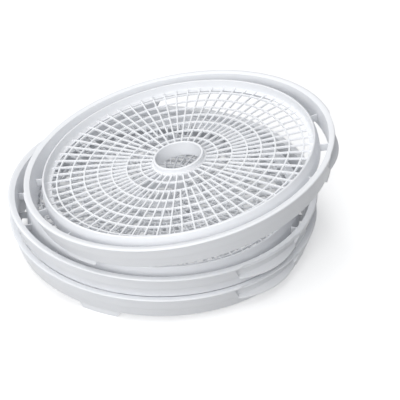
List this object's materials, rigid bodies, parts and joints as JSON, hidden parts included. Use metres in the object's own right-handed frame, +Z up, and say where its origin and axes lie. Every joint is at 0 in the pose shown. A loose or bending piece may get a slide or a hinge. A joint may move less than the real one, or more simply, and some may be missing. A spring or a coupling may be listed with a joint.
{
  "type": "food dehydrator tray stack",
  "caption": "Stack of round white drying trays with mesh floors, the top one tipped up and resting in the one below.",
  "frame": {"origin": "bottom centre of the bounding box, on the surface that the feet stand on", "axes": "+Z up, -Y towards the viewer, +X towards the side where the top tray is tipped up"},
  "size_m": [0.3564, 0.357, 0.1452],
  "materials": {
    "tray_plastic": "fine satin, moulded"
  },
  "bodies": {
    "bottom_tray": {"bottom_tray_outer_wall": "tray_plastic", "bottom_tray_inner_ring": "tray_plastic", "bottom_tray_grid": "tray_plastic", "bottom_tray_hub_tube": "tray_plastic", "bottom_tray_right_grip": "tray_plastic", "bottom_tray_left_grip": "tray_plastic", "bottom_tray_foot_1": "tray_plastic", "bottom_tray_foot_2": "tray_plastic", "bottom_tray_foot_3": "tray_plastic"},
    "middle_tray": {"middle_tray_outer_wall": "tray_plastic", "middle_tray_inner_ring": "tray_plastic", "middle_tray_grid": "tray_plastic", "middle_tray_hub_tube": "tray_plastic", "middle_tray_right_grip": "tray_plastic", "middle_tray_left_grip": "tray_plastic", "middle_tray_foot_1": "tray_plastic", "middle_tray_foot_2": "tray_plastic", "middle_tray_foot_3": "tray_plastic"},
    "top_tray": {"top_tray_outer_wall": "tray_plastic", "top_tray_inner_ring": "tray_plastic", "top_tray_grid": "tray_plastic", "top_tray_hub_tube": "tray_plastic", "top_tray_right_grip": "tray_plastic", "top_tray_left_grip": "tray_plastic", "top_tray_foot_1": "tray_plastic", "top_tray_foot_2": "tray_plastic", "top_tray_foot_3": "tray_plastic"}
  },
  "joints": [
    {"name": "middle_tray_lift", "type": "slide", "parent": "bottom_tray", "child": "middle_tray", "axis": [0, 0, 1], "range_m": [0, 0.12]},
    {"name": "top_tray_tip", "type": "hinge", "parent": "middle_tray", "child": "top_tray", "pos_m": [-0.14821, -0.0093, 0.05924], "axis": [0, -1, 0], "range_deg": [0, 25]}
  ]
}
